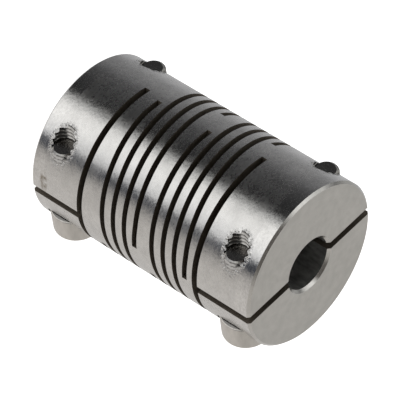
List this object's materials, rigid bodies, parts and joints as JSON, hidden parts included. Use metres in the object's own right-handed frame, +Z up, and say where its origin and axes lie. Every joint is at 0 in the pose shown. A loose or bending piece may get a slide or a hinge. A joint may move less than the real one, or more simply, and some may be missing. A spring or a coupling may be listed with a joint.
{
  "type": "beam coupling",
  "caption": "Flexible shaft coupling turned from one bar, with helical slits between split hubs that cap screws clamp on the shafts.",
  "frame": {"origin": "on the shaft axis, in the end face of the lower hub, which the coupling stands on", "axes": "+Z up the shaft axis from the lower hub to the upper hub; -Y is the side where the screw tips show; +X is the side that the relief slits are sawn from"},
  "size_m": [0.025, 0.025, 0.04],
  "materials": {
    "turned_steel": "satin, fine turning marks round the shaft axis",
    "screw_steel": "plain stainless, smooth heads"
  },
  "bodies": {
    "root": {"coupling_body": "turned_steel", "clamp_screw_lower_left": "screw_steel", "clamp_screw_lower_right": "screw_steel", "clamp_screw_upper_left": "screw_steel", "clamp_screw_upper_right": "screw_steel"}
  },
  "joints": []
}
